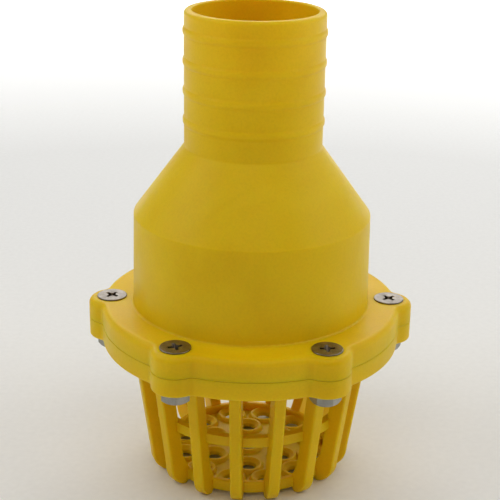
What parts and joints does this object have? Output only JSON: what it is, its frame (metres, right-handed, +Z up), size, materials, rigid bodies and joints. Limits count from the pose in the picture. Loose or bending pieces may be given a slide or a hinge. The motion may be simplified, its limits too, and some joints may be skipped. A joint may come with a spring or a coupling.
{
  "type": "foot valve",
  "caption": "Moulded plastic foot valve: beaded hose tail and conical body over a lugged flange, hinged rubber clack inside, ribbed strainer basket below.",
  "frame": {"origin": "centre of the plane that the strainer's rib feet stand on", "axes": "+Z up the hose tail; the clack hinge lies on the +Y side, parallel to X"},
  "size_m": [0.124, 0.1134, 0.1786],
  "materials": {
    "yellow_plastic": "satin moulded polypropylene",
    "black_rubber": "matt moulded rubber",
    "screw_steel": "dulled nickel-plated steel",
    "zinc_plated_hardware": "bright zinc-plated steel",
    "zinc_plated_plate": "pressed and zinc-plated steel plate"
  },
  "bodies": {
    "valve_body": {"body_shell": "yellow_plastic", "strainer_basket": "yellow_plastic", "rubber_gasket": "black_rubber", "flange_screw_1": "screw_steel", "flange_screw_2": "screw_steel", "flange_screw_3": "screw_steel", "flange_screw_4": "screw_steel", "flange_screw_5": "screw_steel", "flange_screw_6": "screw_steel", "flange_nut_1": "zinc_plated_hardware", "flange_nut_2": "zinc_plated_hardware", "flange_nut_3": "zinc_plated_hardware", "flange_nut_4": "zinc_plated_hardware", "flange_nut_5": "zinc_plated_hardware", "flange_nut_6": "zinc_plated_hardware"},
    "clack": {"clack_flap": "black_rubber", "clack_weight": "zinc_plated_plate", "clack_backing_plate": "zinc_plated_plate", "clack_screw": "zinc_plated_hardware", "clack_washer": "zinc_plated_hardware", "clack_nut": "zinc_plated_hardware"}
  },
  "joints": [
    {"name": "clack_hinge", "type": "hinge", "parent": "valve_body", "child": "clack", "pos_m": [0, 0.034, 0.0601], "axis": [-1, 0, 0], "range_deg": [0, 65]}
  ]
}
